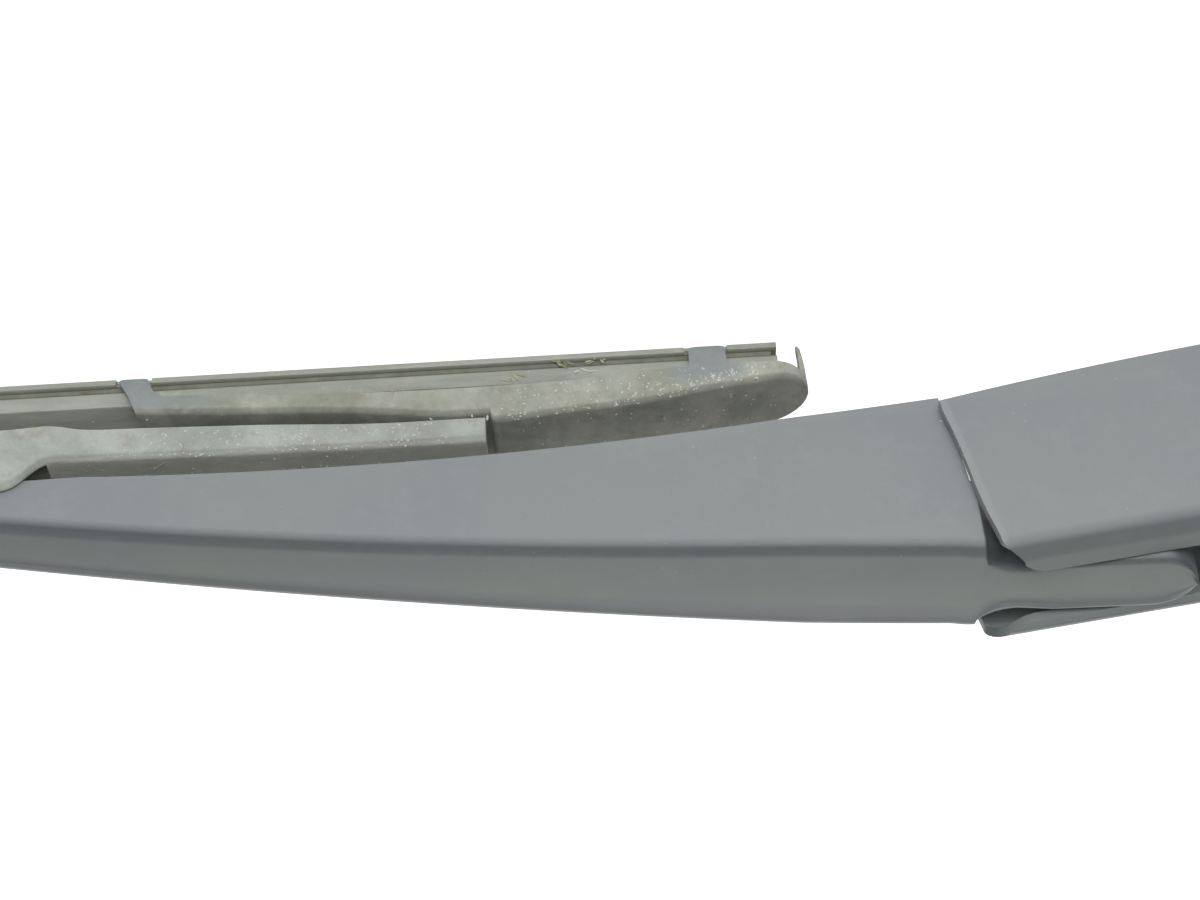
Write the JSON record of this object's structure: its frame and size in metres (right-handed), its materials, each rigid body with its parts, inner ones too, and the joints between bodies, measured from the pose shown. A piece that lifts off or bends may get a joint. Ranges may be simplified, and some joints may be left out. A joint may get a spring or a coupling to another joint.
{
  "type": "wiper arm",
  "caption": "Rear window wiper arm: domed head with nut cover and spring hinge, tapering channel arm, and a bow, yoke and rubber blade clipped to its tip.",
  "frame": {"origin": "centre of the spindle bore on the face that seats on the spindle", "axes": "+Z along the bore, away from the glass; +X from the spindle towards the blade's tip; the XZ plane is the plane of symmetry"},
  "size_m": [0.4733, 0.0266, 0.056],
  "materials": {
    "head_coat": "worn grey powder coat, dusty",
    "arm_coat": "worn grey powder coat, dusty",
    "cover_plastic": "grey moulded, dusty",
    "bush_zinc": "dull cast",
    "pin_steel": "dull, plated",
    "bush_plastic": "natural, greased",
    "link_steel": "dull, plated",
    "spring_steel": "dull, greased",
    "clip_plastic": "black moulded",
    "bow_coat": "weathered coat, dirty",
    "yoke_coat": "weathered coat, dirty",
    "blade_rubber": "chalked, dirty",
    "flexor_steel": "plain strip"
  },
  "bodies": {
    "head": {"head_shell": "head_coat", "spindle_bush": "bush_zinc", "hinge_pin": "pin_steel", "link_pin": "pin_steel", "nut_cover_pin": "pin_steel"},
    "cover": {"nut_cover": "cover_plastic"},
    "link": {"spring_link": "link_steel"},
    "arm": {"arm_shell": "arm_coat", "hinge_bush_near": "bush_plastic", "hinge_bush_far": "bush_plastic", "anchor_pin": "pin_steel", "blade_clip": "clip_plastic", "tension_spring": "spring_steel"},
    "blade": {"primary_bow": "bow_coat", "blade_pin": "pin_steel", "yoke_pin_heel": "pin_steel", "yoke_pin_toe": "pin_steel", "wiper_rubber": "blade_rubber", "flexor_near": "flexor_steel", "flexor_far": "flexor_steel"},
    "heel_yoke": {"yoke_heel": "yoke_coat"},
    "toe_yoke": {"yoke_toe": "yoke_coat"}
  },
  "joints": [
    {"name": "arm_lift", "type": "hinge", "parent": "head", "child": "arm", "pos_m": [0.06, 0, 0.033], "axis": [0, -1, 0], "range_deg": [0, 55], "stiffness_Nm_per_rad": 1.2, "springref_deg": -45.84, "deforming": ["tension_spring"]},
    {"name": "link_swing", "type": "hinge", "parent": "head", "child": "link", "pos_m": [0.044, 0, 0.012], "axis": [0, -1, 0], "range_deg": [0, 44]},
    {"name": "nut_cover_flip", "type": "hinge", "parent": "head", "child": "cover", "pos_m": [0.0168, 0, 0.03078], "axis": [0, 1, 0], "range_deg": [0, 100]},
    {"name": "blade_pivot", "type": "hinge", "parent": "arm", "child": "blade", "pos_m": [0.28, 0, 0.006], "axis": [0, -1, 0], "range_deg": [-2, 50]},
    {"name": "yoke_heel_pivot", "type": "hinge", "parent": "blade", "child": "heel_yoke", "pos_m": [0.161, 0, 0.0034], "axis": [0, -1, 0], "range_deg": [-3, 3], "deforming": ["wiper_rubber", "flexor_near", "flexor_far"]},
    {"name": "yoke_toe_pivot", "type": "hinge", "parent": "blade", "child": "toe_yoke", "pos_m": [0.399, 0, 0.0034], "axis": [0, -1, 0], "range_deg": [-3, 3], "deforming": ["wiper_rubber", "flexor_near", "flexor_far"]}
  ],
  "couplings": [
    {"joint": "link_swing", "follows": "arm_lift", "ratio": 0.797}
  ]
}
